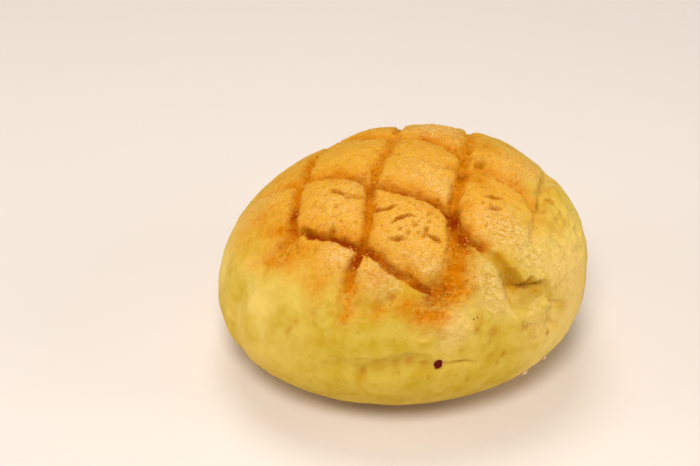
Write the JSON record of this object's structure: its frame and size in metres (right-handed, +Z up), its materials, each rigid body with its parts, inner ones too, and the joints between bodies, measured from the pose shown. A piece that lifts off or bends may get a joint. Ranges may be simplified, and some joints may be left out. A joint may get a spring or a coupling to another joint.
{
  "type": "melon pan bun",
  "caption": "Round sweet bun with a domed cookie crust scored in a diamond grid, torn open a little at one side, resting on a small flat base.",
  "frame": {"origin": "centre of the bounding box's bottom face, on the surface the bun rests on", "axes": "+Z up through the crown, +X to the right of a viewer who faces the torn side, +Y away from that viewer"},
  "size_m": [0.1056, 0.0962, 0.0591],
  "materials": {
    "crust": "baked cookie crust, satin at the sides and finely sugared on the right, orange-brown in the score lines and pale yellow low down"
  },
  "bodies": {
    "root": {"bun": "crust"}
  },
  "joints": []
}
